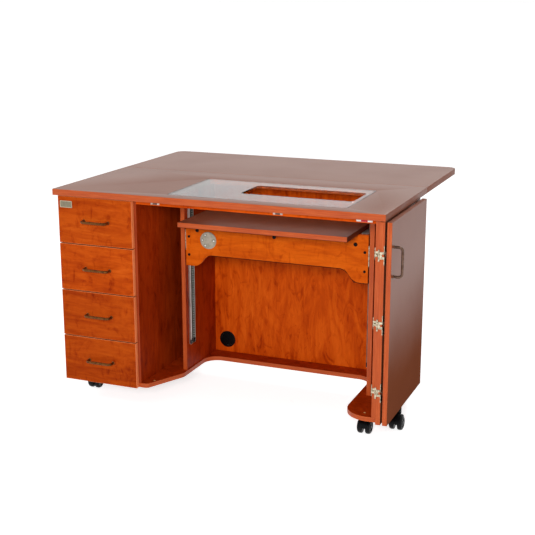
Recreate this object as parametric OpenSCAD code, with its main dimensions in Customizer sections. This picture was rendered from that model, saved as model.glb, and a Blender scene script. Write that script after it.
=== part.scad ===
// Sewing cabinet on casters: a drawer unit, a machine lift behind a knee space,
// a folding double door and a hinged rear leaf.

/* [Worktop] */
// Width of the worktop, left to right
top_w = 1200; // [1180:5:1300]
// Depth of the fixed front part of the worktop
main_d = 520; // [500:5:560]
// Depth of the hinged rear leaf
leaf_d = 469; // [410:1:560]
// Thickness of the worktop boards
top_t = 22; // [18:1:30]
// Height of the worktop's upper face above the ground
top_h = 770; // [740:5:800]
// Gap between the worktop and the rear leaf
leaf_gap = 1; // [0.5:0.5:3]
// Radius of the leaf's two rear corners
leaf_corner_r = 35; // [10:1:80]

/* [Machine opening] */
// Width of the opening for the machine
opening_w = 625; // [560:5:630]
// Depth of the opening for the machine
opening_d = 325; // [300:5:340]
// Distance from the worktop's front edge to the opening
opening_front = 60; // [50:1:70]
// Distance from the left lift partition to the opening
opening_left = 24; // [20:1:40]
// Radius of the opening's corners
opening_r = 12; // [10:1:30]
// Width of the ledge that carries the clear insert
ledge_w = 8; // [5:1:12]
// Thickness of the clear insert
insert_t = 6; // [4:1:10]
// Width of the machine's hole in the insert
bed_w = 400; // [300:5:450]
// Depth of the machine's hole in the insert
bed_d = 160; // [150:5:180]
// Clear strip between the insert's front edge and the machine's hole
bed_front = 115; // [60:1:120]
// Clear strip between the insert's right edge and the machine's hole
bed_right = 18; // [12:1:60]

/* [Carcass] */
// Thickness of the carcass boards, fronts and doors
board_t = 16; // [15:1:19]
// Height of the floor panel's underside above the ground
base_h = 70; // [66:1:90]
// Worktop overhang at the left side
overhang_l = 11; // [5:1:30]
// Worktop overhang at the right side, over the folded doors
overhang_r = 24; // [15:1:40]
// Worktop overhang behind the back panel
overhang_back = 34; // [28:1:45]
// Distance from the worktop's front edge to the face of drawers and doors
front_setback = 15; // [10:1:25]
// Outer width of the drawer unit
drawer_unit_w = 300; // [280:5:330]
// Width of the open slot between the drawer unit and the lift
slot_w = 74; // [60:1:100]
// Clear width between the two lift partitions
lift_bay_w = 685; // [670:1:700]
// Depth of the lift partitions, from the back panel forwards
lift_partition_d = 252; // [220:1:280]
// Width of the rail under the worktop's front edge
front_rail_w = 26; // [22:1:28]
// Depth of the floor panel behind the knee space
floor_back_d = 84; // [60:1:100]

/* [Drawers] */
// Height of each gap between two drawer fronts
front_gap = 3; // [2:0.5:5]
// Height of the drawer boxes
box_h = 120; // [80:5:130]
// Free depth between the drawer boxes and the back panel
box_back_gap = 39; // [20:1:120]
// Thickness of the drawer box walls
box_t = 12; // [10:1:16]
// Thickness of the drawer bottoms
bottom_t = 6; // [4:1:8]
// Distance between the two ends of a drawer handle
handle_cc = 96; // [64:1:128]
// Distance from the drawer front to the middle of the handle's bar
handle_out = 24; // [20:1:32]

/* [Lift] */
// Width of the platform that the machine stands on
platform_w = 610; // [560:2:630]
// Depth of the platform
platform_d = 290; // [280:5:320]
// Thickness of the platform
platform_t = 18; // [16:1:22]
// Depth of the platform's upper face under the worktop
platform_drop = 80; // [60:1:110]
// Distance from the worktop's front edge to the platform
platform_front = 88; // [80:1:100]
// Height of the brace board at its two ends
brace_h = 166; // [140:1:180]
// Height of the arch cut into the brace board's lower edge
arch_h = 44; // [30:1:60]
// Width of the brace board's feet beside the arch
brace_foot_w = 48; // [40:1:60]
// Width over which the arch rises beside each foot
arch_run = 36; // [30:1:60]
// Diameter of the round plate on the brace
plate_d = 62; // [54:1:80]
// Length of the lift's upright rails
lift_rail_l = 525; // [510:5:560]
// Width of the lift's upright rails
lift_rail_w = 32; // [30:1:45]

/* [Doors] */
// Space between the folded door panels' inner faces
fold_space = 7; // [7:0.5:12]
// Height of the lowest hinge above the ground
hinge_low = 180; // [140:1:200]
// Height between one hinge and the next
hinge_pitch = 228; // [180:1:235]
// Distance between the two ends of the door handle
door_handle_cc = 96; // [64:1:128]
// Distance from the door's face to the middle of the handle's grip
door_handle_out = 28; // [24:1:40]
// Distance from the door's top edge down to the middle of its handle
door_handle_drop = 131; // [90:1:340]
// Distance from the door's free edge to the door handle
door_handle_in = 30; // [20:1:60]

/* [Rear leaf] */
// Distance from each end of the leaf to its struts
strut_inset = 300; // [200:10:400]
// Depth of the strut's pivot under the leaf hinge's pin
strut_drop = 144.5; // [120:0.5:160]
// Length of the struts between their two pins
strut_l = 211; // [206:1:216]

/* [Casters] */
// Radius of the caster wheels
wheel_r = 25; // [20:1:26]
// Width of one caster wheel
wheel_w = 17; // [15:1:21]
// Distance between the swivel axis and the wheel's axle
trail = 20; // [16:1:24]

/* [Hidden] */
$fn = 64;

// Colours of the finishes
laminate = "#7a4335";
cherry = "#c25a22";
inner_red = "#8c3a16";
steel = "#b9bcc0";
nickel = "#cfc6ad";
bronze = "#6b5238";
black = "#1d1d1f";
clear = [0.85, 0.92, 0.9, 0.35];

// Clearances shared by the pieces
slack = 0.5;
edge_slip = 0.3;
pin_fit = 0.05;

// Heights
under_top = top_h - top_t;
floor_top = base_h + board_t;
door_top = under_top - 5;
fronts_top = under_top - 4;
front_h = (fronts_top - base_h - 3 * front_gap) / 4;

// Depths, measured back from the worktop's front edge
carcass_y = front_setback + board_t + slack;
back_out = main_d - overhang_back;
back_in = back_out - board_t;
lift_y = back_in - lift_partition_d;
total_d = main_d + leaf_gap + leaf_d;

// Widths, measured from the worktop's left edge
left_out = overhang_l;
left_in = left_out + board_t;
right_out = top_w - overhang_r;
right_in = right_out - board_t;
unit_right = left_out + drawer_unit_w;
unit_in = unit_right - board_t;
bay_left = unit_right + slot_w + board_t;
bay_right = bay_left + lift_bay_w;
bay_mid = (bay_left + bay_right) / 2;

// Drawer fronts cover the left side and part of the partition
front_overlay = 7;
front_right = unit_in + front_overlay;
front_w = front_right - left_out;

// Drawer runners: a channel on the carcass and a smaller one on the box
runner_t = 12.5;
runner_h = 40;
runner_wall = 1.5;
runner_reach = 9;
box_x0 = left_in + runner_t;
box_x1 = unit_in - runner_t;
box_lift = 22;
box_d = back_in - box_back_gap - front_setback - board_t;
bottom_rise = 8;
groove = 5;
rail_start = 2;
runner_lift = box_lift + box_h / 2;

// Handles: bars bent back at both ends
handle_r = 4.5;
handle_bend = 12;
handle_mid = (left_in + unit_in) / 2;

// Machine opening, and the ledge's recess around it
ledge = [ledge_w, ledge_w];
opening_low = [bay_left + opening_left, opening_front];
opening_high = opening_low + [opening_w, opening_d];
recess_low = opening_low - ledge;
recess_high = opening_high + ledge;

// Knee space cut into the floor panel
knee_left_gap = 24;
knee_left_x = unit_right + knee_left_gap;
knee_bend_x = bay_left + 4;
knee_right_x = bay_right - 31;
knee_bend_d = 153;
left_lobe_r = 20;
right_lobe_r = 85;
knee_bend_r = 60;
knee_corner_r = 55;

// Lift
rail_set_back = 6;
rail_t = 10;
rail_wall = 1.5;
rail_stop = 2;
brace_y = lift_y;
brace_gap = 4.5;
brace_x0 = bay_left + brace_gap;
brace_x1 = bay_right - brace_gap;
brace_back = brace_y + board_t;
platform_h = under_top - platform_drop;
platform_z = platform_h - platform_t;
platform_back = platform_front + platform_d;
brace_z = platform_z - brace_h;
rail_y = brace_back + rail_set_back;
rail_head = 43;
rail_top = under_top - rail_head;
rail_z = rail_top - lift_rail_l;
carriage_t = 2;
slider_drop = 40;
slider_l = 96;
slider_top = platform_z - slider_drop;
slider_low = slider_top - slider_l;
arm_overlap = 12;
arm_setback = 20;
gusset_h = 60;
gusset_tip = 10;
plate_t = 3;
plate_inset = 88;
plate_rise = 98;
plate_screw_r = 22;
plate_screw_angles = [0, 120, 180, 240];
plate_head_r = 3.5;
plate_head_h = 1.5;
screw_inset = 12;
screw_rises = [40, 106];
screw_head_r = 5;
screw_head_h = 2.5;
bolt_head_r = 7;
bolt_rise = 131;
bolt_inset = 45;
bolt_xs = [brace_x0 + bolt_inset, bay_mid, brace_x1 - bolt_inset];
arch_r = 38;

// Double door: the pin of its swing stands at the front of the right side
pin_out = 1;
pin_edge = 1.5;
swing_x = right_out + pin_out;
swing_y = front_setback - pin_edge;
fold_edge = 1.5;
door_gap = 2.5;
door_w = (swing_x - pin_edge - 2 * fold_edge - front_right - door_gap) / 2;
inner_x0 = swing_x + pin_edge;
inner_x1 = inner_x0 + board_t;
outer_x0 = inner_x1 + fold_space;
outer_x1 = outer_x0 + board_t;
door_y0 = swing_y + pin_edge;
door_y1 = door_y0 + door_w;
fold_x = inner_x1 + fold_space / 2;
fold_y = door_y1 + fold_edge;
hinge_zs = [for (i = [0:2]) hinge_low + i * hinge_pitch];

// Door handle
door_handle_y = door_y0 + door_handle_in;
door_handle_h = door_top - door_handle_drop;

// Swing hinges: heights of their parts, then thicknesses and lengths
knuckle_h = 38;
middle_h = 8;
block_h = 18;
strip_h = 24;
flange_h = 64;
plate_h = 40;
knuckle_r = 3;
hinge_pin_r = 1.5;
strap_t = 1.5;
leg_t = 1;
leg_slip = 0.1;
flange_t = 2;
plate_l = 44;
flange_l = 22.5;
block_end = 6.5;
slot_start = 10;
slot_end = 20.5;

// Fold hinges
fold_knuckle_r = fold_space / 2 - edge_slip;
fold_leaf_t = 1.5;
fold_leaf_l = 27;
fold_leaf_h = 60;
fold_knuckle_h = 20;

// Magnetic catches in the front rail: middle and width of each
closed_fold_x = swing_x - (fold_y - swing_y);
catch_insets = [73, 90, 38];
catch_xs = [unit_right + catch_insets[0], closed_fold_x + catch_insets[1], right_in - catch_insets[2]];
catch_ws = [34, 34, 54];
catch_h = 10;
catch_d = 12;
catch_rise = 3;
catch_z = under_top - board_t + catch_rise;
strike_l = 30;
strike_t = 1.5;
strike_drop = 14;
strike_z = door_top - strike_drop;

// Leaf hinges and struts
leaf_hinge_inset = 150;
leaf_xs = [leaf_hinge_inset, top_w / 2, top_w - leaf_hinge_inset];
leaf_knuckle_r = 3.2;
leaf_pin_y = main_d + leaf_gap / 2;
leaf_pin_z = under_top - edge_slip - leaf_knuckle_r;
leaf_plate_t = 2;
leaf_plate_gap = 3;
leaf_plate_l = overhang_back - leaf_knuckle_r - leaf_plate_gap;
leaf_plate_w = 60;
leaf_knuckle_w = 20;
strut_xs = [strut_inset, top_w - strut_inset];
ear_reach = 19;
strut_y = back_out + ear_reach;
strut_z = leaf_pin_z - strut_drop;
strut_t = 4;
strut_half = 6;
strut_pin_r = 3;
arm_t = 2;
arm_w = 20;
arm_start = 20;
arm_end_margin = 10;
slot_margin = 5;
ear_r = 8;
rivet_r = 5;
rivet_h = 1.5;
wall_plate_w = 30;
wall_plate_below = 40;
wall_plate_above = 110;

// Where the strut's upper pin lies along the arm with the leaf up and down
pin_drop = leaf_pin_z - under_top + arm_w / 2;
pin_up_y = strut_y + sqrt(pow(strut_l, 2) - pow(strut_drop - pin_drop, 2));
pin_down_z = strut_z - sqrt(pow(strut_l, 2) - pow(pin_drop + strut_y - leaf_pin_y, 2));
slot_y0 = pin_up_y - slot_margin;
slot_y1 = leaf_pin_y + leaf_pin_z - pin_down_z + slot_margin;
arm_y1 = slot_y1 + arm_end_margin;

// Cable grommet in the back panel
grommet_inset = 140;
grommet_rise = 49.5;
grommet_x = unit_right + grommet_inset;
grommet_z = floor_top + grommet_rise;
grommet_r = 30;
grommet_bore_r = 25;
grommet_lip = 2;
grommet_lip_t = 2;

// Blank name plate on the top drawer
name_w = 48;
name_h = 24;
name_t = 1.2;
name_inset = 9;
name_drop = 16;
name_r = 2;
name_x = left_out + name_inset;
name_z = fronts_top - name_drop - name_h;

// Casters: place of the swivel axis and the way the wheels trail
caster_front_in = 86.5;
caster_back_in = 50;
caster_left_in = 49;
caster_right_in = 56;
door_caster_in = 175;
caster_front_y = carcass_y + caster_front_in;
caster_back_y = back_out - caster_back_in;
caster_left_x = left_out + caster_left_in;
caster_right_x = right_out - caster_right_in;
door_caster_y = door_y0 + door_caster_in;
caster_places = [
    [caster_left_x, caster_front_y, 180],
    [caster_right_x, caster_front_y, 0],
    [caster_left_x, caster_back_y, 180],
    [caster_right_x, caster_back_y, 180],
    [(outer_x0 + outer_x1) / 2, door_caster_y, 0]];
stem_r = 5;
stem_l = 12;
axle_r = 3;
web_half = 4.5;
web_gap = 1.5;
hood_gap = 1.5;
hood_t = 2.5;
hood_half = 18;
hood_rise = 4;
boss_r = 10;
tread_r = 6;
axle_end = 2;
stem_room = 0.5;

// The frame's origin lies on the ground under the middle of the whole outline
frame_x = (outer_x1 + door_handle_out + handle_r) / 2;
frame_y = (total_d + front_setback - handle_out - handle_r) / 2;

module in_frame() {
    translate([-frame_x, -frame_y, 0]) children();
}

// A box between two corners
module span(a, b) {
    translate(a) cube(b - a);
}

// A flat rectangle between two corners, with round corners
module round_rect(a, b, r) {
    for (k = [0, r]) {
        translate([a.x + k, a.y + r - k]) square([b.x - a.x - 2 * k, b.y - a.y - 2 * (r - k)]);
    }
    for (x = [a.x + r, b.x - r], y = [a.y + r, b.y - r]) {
        translate([x, y]) circle(r);
    }
}

// The sliver between a corner and the arc that rounds it, where the two edges
// leave the corner at the angles a and b
module corner_patch(p, a, b, r) {
    half = (b - a) / 2;
    mid = (a + b) / 2;
    reach = r / tan(half);
    c = p + r / sin(half) * [cos(mid), sin(mid)];
    difference() {
        polygon([p, p + reach * [cos(a), sin(a)], c, p + reach * [cos(b), sin(b)]]);
        translate(c) circle(r);
    }
}

// Cylinders along X and Y
module rod_x(x0, x1, y, z, r) {
    translate([x0, y, z]) rotate([0, 90, 0]) cylinder(r = r, h = x1 - x0);
}

module rod_y(y0, y1, x, z, r) {
    translate([x, y1, z]) rotate([90, 0, 0]) cylinder(r = r, h = y1 - y0);
}

// Turns a flat outline drawn in X and Z into a board that is t deep
module upright(y, t) {
    translate([0, y + t, 0]) rotate([90, 0, 0]) linear_extrude(t) children();
}

// Mirrors about the middle of the lift bay, keeping the original
module both_sides(mid) {
    children();
    translate([2 * mid, 0, 0]) mirror([1, 0, 0]) children();
}

module worktop() {
    in_frame() color(laminate) difference() {
        span([0, 0, under_top], [top_w, main_d, top_h]);
        translate([0, 0, under_top - 1]) linear_extrude(top_t + 2)
            round_rect(opening_low, opening_high, opening_r);
        translate([0, 0, top_h - insert_t]) linear_extrude(insert_t + 1)
            round_rect(recess_low, recess_high, opening_r);
    }
}

module machine_insert() {
    slip = [slack, slack];
    hole_high = [recess_high.x - bed_right, recess_low.y + bed_front + bed_d];
    in_frame() color(clear) translate([0, 0, top_h - insert_t]) linear_extrude(insert_t)
        difference() {
            round_rect(recess_low + slip, recess_high - slip, opening_r - slack);
            round_rect(hole_high - [bed_w, bed_d], hole_high, opening_r);
        }
}

module front_rail() {
    y1 = carcass_y + front_rail_w;
    in_frame() color(cherry) difference() {
        span([unit_right, carcass_y, under_top - board_t], [right_in, y1, under_top]);
        for (i = [0:2]) {
            span([catch_xs[i] - catch_ws[i] / 2, carcass_y - 1, catch_z],
                [catch_xs[i] + catch_ws[i] / 2, carcass_y + catch_d, catch_z + catch_h]);
        }
    }
}

module door_catches() {
    in_frame() color(steel) for (i = [0:2]) {
        span([catch_xs[i] - catch_ws[i] / 2, carcass_y, catch_z],
            [catch_xs[i] + catch_ws[i] / 2, carcass_y + catch_d, catch_z + catch_h]);
    }
}

module left_side() {
    in_frame() color(laminate)
        span([left_out, carcass_y, floor_top], [left_in, back_out, under_top]);
}

module drawer_partition() {
    in_frame() color(inner_red)
        span([unit_in, carcass_y, floor_top], [unit_right, back_in, under_top]);
}

module lift_partitions() {
    in_frame() color(inner_red) both_sides(bay_mid)
        span([bay_left - board_t, lift_y, floor_top], [bay_left, back_in, under_top]);
}

module right_side() {
    in_frame() color(laminate)
        span([right_in, carcass_y, floor_top], [right_out, back_out, under_top]);
}

// Points of the arc that rounds the corner p, whose edges leave it at the angles a and b
function corner_arc(p, a, b, r, steps = 16) =
    let (mid = (a + b) / 2, c = p + r / sin((b - a) / 2) * [cos(mid), sin(mid)])
    [for (i = [0:steps]) let (t = a - 90 + (b - a - 180) * i / steps) c + r * [cos(t), sin(t)]];

function backwards(points) = [for (i = [len(points) - 1:-1:0]) points[i]];

// The knee space's plan, from the left front corner round to the right one
module knee_plan() {
    x0 = knee_bend_x;
    x1 = knee_right_x;
    y0 = carcass_y;
    y1 = back_out - floor_back_d;
    bend = [x0, y0 + knee_bend_d];
    slant = atan2(bend.y - y0, x0 - knee_left_x);
    left_lobe = backwards(corner_arc([knee_left_x, y0], slant, 180, left_lobe_r));
    right_lobe = backwards(corner_arc([x1, y0], 0, 90, right_lobe_r));
    polygon(concat([[left_lobe[0].x, y0 - 1]], left_lobe,
        backwards(corner_arc(bend, 90, 180 + slant, knee_bend_r)),
        corner_arc([x0, y1], 270, 360, knee_corner_r),
        corner_arc([x1, y1], 180, 270, knee_corner_r),
        right_lobe, [[x1 + right_lobe_r, y0 - 1]]));
}

module floor_panel() {
    in_frame() color(inner_red) difference() {
        span([left_out, carcass_y, base_h], [right_out, back_out, floor_top]);
        translate([0, 0, base_h - 1]) linear_extrude(board_t + 2) knee_plan();
        for (i = [0:3]) {
            translate([caster_places[i].x, caster_places[i].y, base_h - 1])
                cylinder(r = stem_r + pin_fit, h = stem_l + 1 + stem_room);
        }
    }
}

module back_panel() {
    in_frame() color(cherry) difference() {
        span([left_in, back_in, floor_top], [right_in, back_out, under_top]);
        rod_y(back_in - 1, back_out + 1, grommet_x, grommet_z, grommet_r);
    }
}

module cable_grommet() {
    in_frame() color(black) difference() {
        union() {
            rod_y(back_in - grommet_lip_t, back_in, grommet_x, grommet_z, grommet_r + grommet_lip);
            rod_y(back_in - grommet_lip_t, back_out + grommet_lip_t, grommet_x, grommet_z,
                grommet_r - edge_slip);
            rod_y(back_out, back_out + grommet_lip_t, grommet_x, grommet_z, grommet_r + grommet_lip);
        }
        rod_y(back_in - grommet_lip_t - 1, back_out + grommet_lip_t + 1, grommet_x, grommet_z,
            grommet_bore_r);
    }
}

// A channel along Y that stands on the plane x = 0 and opens towards +X
module channel_y(y0, y1, h, reach, wall) {
    difference() {
        span([0, y0, -h / 2], [reach, y1, h / 2]);
        span([wall, y0 - 1, wall - h / 2], [reach + 1, y1 + 1, h / 2 - wall]);
    }
}

function front_z(i) = fronts_top - (i + 1) * front_h - i * front_gap;

module drawer_rails() {
    in_frame() color(steel) for (i = [0:3]) both_sides((left_in + unit_in) / 2)
        translate([left_in, 0, front_z(i) + runner_lift])
            channel_y(carcass_y + rail_start, carcass_y + box_d, runner_h, runner_reach, runner_wall);
}

module drawer_runners(i) {
    h = runner_h - 2 * runner_wall - 2 * slack;
    in_frame() color(steel) both_sides((left_in + unit_in) / 2)
        translate([box_x0, 0, front_z(i) + runner_lift]) mirror([1, 0, 0])
            channel_y(carcass_y + 2 * rail_start, carcass_y + box_d - rail_start, h,
                runner_t - runner_wall - slack, runner_wall);
}

module drawer_front(i) {
    in_frame() color(cherry) span([left_out, front_setback, front_z(i)],
        [front_right, front_setback + board_t, front_z(i) + front_h]);
}

// Two sides, a front, a back and a bottom that sits in grooves of all four
module drawer_box(i) {
    y0 = front_setback + board_t;
    y1 = y0 + box_d;
    z0 = front_z(i) + box_lift;
    z1 = z0 + box_h;
    low = [box_x0 + box_t - groove, y0 + box_t - groove, z0 + bottom_rise];
    high = [box_x1 - box_t + groove, y1 - box_t + groove, z0 + bottom_rise + bottom_t];
    in_frame() color("#e0c9a0") {
        span(low, high);
        difference() {
            union() {
                span([box_x0, y0, z0], [box_x0 + box_t, y1, z1]);
                span([box_x1 - box_t, y0, z0], [box_x1, y1, z1]);
            }
            span(low, high);
        }
        difference() {
            union() {
                span([box_x0 + box_t, y0, z0], [box_x1 - box_t, y0 + box_t, z1]);
                span([box_x0 + box_t, y1 - box_t, z0], [box_x1 - box_t, y1, z1]);
            }
            span(low, high);
        }
    }
}

// A handle on the plane y = 0: a bar along X, bent back at both ends
module bent_bar(cc, out) {
    x = cc / 2 - handle_bend;
    y = handle_bend - out;
    for (side = [-cc / 2, cc / 2]) {
        rod_y(y, 0, side, 0, handle_r);
    }
    rod_x(-x, x, -out, 0, handle_r);
    translate([-x, y, 0]) rotate([0, 0, 180]) rotate_extrude(angle = 90)
        translate([handle_bend, 0]) circle(handle_r);
    translate([x, y, 0]) rotate([0, 0, 270]) rotate_extrude(angle = 90)
        translate([handle_bend, 0]) circle(handle_r);
}

module drawer_handle(i) {
    in_frame() color(bronze) translate([handle_mid, front_setback, front_z(i) + front_h / 2])
        bent_bar(handle_cc, handle_out);
}

module name_plate() {
    in_frame() color(nickel) upright(front_setback - name_t, name_t)
        round_rect([name_x, name_z], [name_x + name_w, name_z + name_h], name_r);
}

module lift_platform() {
    in_frame() color(laminate)
        span([bay_mid - platform_w / 2, platform_front, platform_z],
            [bay_mid + platform_w / 2, platform_front + platform_d, platform_h]);
}

// Outline of the brace board: square above, with a long arch below
module brace_outline() {
    foot_l = brace_x0 + brace_foot_w;
    foot_r = brace_x1 - brace_foot_w;
    arch_z = brace_z + arch_h;
    slope = atan2(arch_h, arch_run);
    difference() {
        translate([brace_x0, brace_z]) square([brace_x1 - brace_x0, brace_h]);
        difference() {
            polygon([[foot_l, brace_z], [foot_l, brace_z - 1], [foot_r, brace_z - 1], [foot_r, brace_z],
                [foot_r - arch_run, arch_z], [foot_l + arch_run, arch_z]]);
            corner_patch([foot_l + arch_run, arch_z], 180 + slope, 360, arch_r);
            corner_patch([foot_r - arch_run, arch_z], 180, 360 - slope, arch_r);
        }
        corner_patch([foot_l, brace_z], slope, 180, arch_r);
        corner_patch([foot_r, brace_z], 0, 180 - slope, arch_r);
    }
}

module lift_brace() {
    in_frame() color(cherry) difference() {
        upright(brace_y, board_t) brace_outline();
        for (x = [brace_x0 + screw_inset, brace_x1 - screw_inset], rise = screw_rises) {
            rod_y(brace_y - 1, brace_back + 1, x, brace_z + rise, screw_head_r / 2);
        }
        for (x = bolt_xs) {
            rod_y(brace_y - 1, brace_y + board_t / 2, x, brace_z + bolt_rise, bolt_head_r / 2);
        }
        for (a = plate_screw_angles) {
            rod_y(brace_y - 1, brace_y + board_t / 2, brace_x0 + plate_inset + plate_screw_r * cos(a),
                brace_z + plate_rise + plate_screw_r * sin(a), plate_head_r / 2);
        }
    }
}

module brace_screws() {
    in_frame() color(black) {
        for (x = [brace_x0 + screw_inset, brace_x1 - screw_inset], rise = screw_rises) {
            rod_y(brace_y - screw_head_h, brace_y, x, brace_z + rise, screw_head_r);
            rod_y(brace_y - 1, brace_back, x, brace_z + rise, screw_head_r / 2 - pin_fit);
        }
        for (x = bolt_xs) {
            rod_y(brace_y - screw_head_h, brace_y, x, brace_z + bolt_rise, bolt_head_r);
            rod_y(brace_y - 1, brace_y + board_t / 2 - slack, x, brace_z + bolt_rise,
                bolt_head_r / 2 - pin_fit);
        }
        plate_screws(plate_head_r, plate_head_r / 2 - pin_fit);
    }
}

// The round plate's screws: heads of radius r on shanks of radius shank
module plate_screws(r, shank) {
    face = brace_y - plate_t;
    for (a = plate_screw_angles) {
        x = brace_x0 + plate_inset + plate_screw_r * cos(a);
        z = brace_z + plate_rise + plate_screw_r * sin(a);
        rod_y(face - plate_head_h, face, x, z, r);
        rod_y(face - 1, brace_y + board_t / 2 - slack, x, z, shank);
    }
}

module brace_plate() {
    x = brace_x0 + plate_inset;
    z = brace_z + plate_rise;
    in_frame() color(steel) difference() {
        rod_y(brace_y - plate_t, brace_y, x, z, plate_d / 2);
        for (a = plate_screw_angles) {
            rod_y(brace_y - plate_t - 1, brace_y + 1, x + plate_screw_r * cos(a),
                z + plate_screw_r * sin(a), plate_head_r / 2);
        }
    }
}

// An upright channel on the lift partition, with a stop at each end
module lift_rails() {
    in_frame() color(steel) both_sides(bay_mid) {
        difference() {
            span([bay_left, rail_y, rail_z], [bay_left + rail_t, rail_y + lift_rail_w, rail_top]);
            span([bay_left + rail_wall, rail_y + rail_wall, rail_z + rail_stop],
                [bay_left + rail_t + 1, rail_y + lift_rail_w - rail_wall, rail_top - rail_stop]);
        }
    }
}

// A slider in each rail, an angle behind the brace and an arm under the platform
module lift_carriages() {
    x0 = bay_left + rail_wall + slack;
    x1 = bay_left + rail_t + slack;
    x2 = x1 + carriage_t;
    y0 = rail_y + rail_wall + slack;
    y1 = rail_y + lift_rail_w;
    arm_x = bay_mid - platform_w / 2 + arm_overlap;
    arm_y = platform_back - arm_setback;
    in_frame() color(steel) both_sides(bay_mid) {
        span([x0, y0, slider_low], [x1 + slack, y1 - rail_wall - slack, slider_top]);
        span([x1, brace_back, slider_low], [x2, y1, platform_z]);
        span([x1, brace_back, slider_low],
            [brace_x0 + 2 * screw_inset, brace_back + carriage_t, slider_top]);
        span([x1, brace_back, platform_z - carriage_t], [arm_x, arm_y, platform_z]);
        translate([x1, 0, 0]) rotate([90, 0, 90]) linear_extrude(carriage_t)
            polygon([[y1 - 1, platform_z - gusset_h], [y1 - 1, platform_z], [arm_y, platform_z],
                [arm_y, platform_z - gusset_tip]]);
    }
}

// Pockets for the swing hinges in the inner door panel
module hinge_pockets() {
    for (z = hinge_zs) {
        translate([swing_x, swing_y, z - knuckle_h / 2 - slack])
            cylinder(r = knuckle_r + edge_slip, h = knuckle_h + 2 * slack);
        span([inner_x1 - flange_t, door_y0 - 1, z - flange_h / 2],
            [inner_x1 + 1, door_y0 + flange_l, z + flange_h / 2]);
    }
}

module door_inner() {
    in_frame() color(laminate) difference() {
        span([inner_x0, door_y0, base_h], [inner_x1, door_y1, door_top]);
        hinge_pockets();
        for (i = [1, 2]) {
            y = swing_y + swing_x - catch_xs[i];
            span([inner_x1 - strike_t, y - strike_l / 2, strike_z],
                [inner_x1 + 1, y + strike_l / 2, strike_z + catch_h]);
        }
    }
}

module door_inner_strikes() {
    in_frame() color(steel) for (i = [1, 2]) {
        y = swing_y + swing_x - catch_xs[i];
        span([inner_x1 - strike_t, y - strike_l / 2, strike_z],
            [inner_x1, y + strike_l / 2, strike_z + catch_h]);
    }
}

// Fixed half of a swing hinge: a plate inside the side panel, a block in front
// of its edge and a leg that carries the middle knuckle
module door_hinge_plates() {
    leg_x = swing_x + leg_slip;
    in_frame() color(nickel) for (z = hinge_zs) {
        low = z - middle_h / 2;
        high = z + middle_h / 2;
        span([right_in - flange_t, carcass_y, z - plate_h / 2],
            [right_in, carcass_y + plate_l, z + plate_h / 2]);
        span([right_in - flange_t, carcass_y - strap_t, z - block_h / 2],
            [swing_x - block_end, carcass_y, z + block_h / 2]);
        span([swing_x - block_end - 1, carcass_y - strap_t, low], [leg_x + leg_t, carcass_y, high]);
        difference() {
            union() {
                span([leg_x, swing_y, low], [leg_x + leg_t, carcass_y, high]);
                translate([swing_x, swing_y, low]) cylinder(r = knuckle_r, h = middle_h);
            }
            translate([swing_x, swing_y, low - 1]) cylinder(r = hinge_pin_r + pin_fit, h = middle_h + 2);
        }
    }
}

// Moving half: two knuckles on the pin, a strip across the panel's edge and a
// tall flange let into its face, slotted to pass the fixed half
module door_hinge_wings() {
    middle = middle_h / 2 + edge_slip;
    block = block_h / 2 + edge_slip;
    in_frame() color(nickel) for (z = hinge_zs) {
        translate([swing_x, swing_y, z - knuckle_h / 2]) cylinder(r = hinge_pin_r, h = knuckle_h);
        for (low = [z - knuckle_h / 2, z + middle]) {
            translate([swing_x, swing_y, low]) cylinder(r = knuckle_r, h = knuckle_h / 2 - middle);
        }
        difference() {
            union() {
                span([swing_x, swing_y, z - strip_h / 2], [inner_x1, door_y0, z + strip_h / 2]);
                span([inner_x1 - flange_t, door_y0, z - flange_h / 2],
                    [inner_x1, door_y0 + flange_l, z + flange_h / 2]);
            }
            span([swing_x - 1, swing_y - 1, z - middle],
                [swing_x + knuckle_r + edge_slip, door_y0 + 1, z + middle]);
            span([swing_x + slot_start, swing_y - 1, z - middle],
                [inner_x1 + 1, swing_y + slot_end, z + middle]);
            span([inner_x1 - flange_t - 1, door_y0, z - block],
                [inner_x1 + 1, swing_y + slot_end, z + block]);
        }
    }
}

// One leaf of a fold hinge, flat against a panel's face on the plane x = face,
// with its knuckles between the heights in spans
module fold_leaf(face, side, spans) {
    tab = fold_y - fold_knuckle_r - slack;
    x0 = side > 0 ? face : face - fold_leaf_t;
    x1 = x0 + fold_leaf_t;
    for (z = hinge_zs) {
        span([x0, door_y1 - fold_leaf_l, z - fold_leaf_h / 2], [x1, tab, z + fold_leaf_h / 2]);
        for (s = spans) {
            span([x0, tab - 1, z + s[0]], [x1, fold_y, z + s[1]]);
            translate([fold_x, fold_y, z + s[0]]) cylinder(r = fold_knuckle_r, h = s[1] - s[0]);
        }
    }
}

module fold_leaves_inner() {
    half = fold_leaf_h / 2;
    in_frame() color(nickel) {
        fold_leaf(inner_x1, 1, [[-half, -fold_knuckle_h / 2], [fold_knuckle_h / 2, half]]);
        for (z = hinge_zs) {
            translate([fold_x, fold_y, z - half]) cylinder(r = hinge_pin_r, h = fold_leaf_h);
        }
    }
}

module fold_leaves_outer() {
    half = fold_knuckle_h / 2 - edge_slip;
    in_frame() color(nickel) difference() {
        fold_leaf(outer_x0, -1, [[-half, half]]);
        for (z = hinge_zs) {
            translate([fold_x, fold_y, z - half - 1])
                cylinder(r = hinge_pin_r + pin_fit, h = 2 * half + 2);
        }
    }
}

outer_strike_y = fold_y - (swing_x - pin_edge - door_w - fold_edge - catch_xs[0]);

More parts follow.
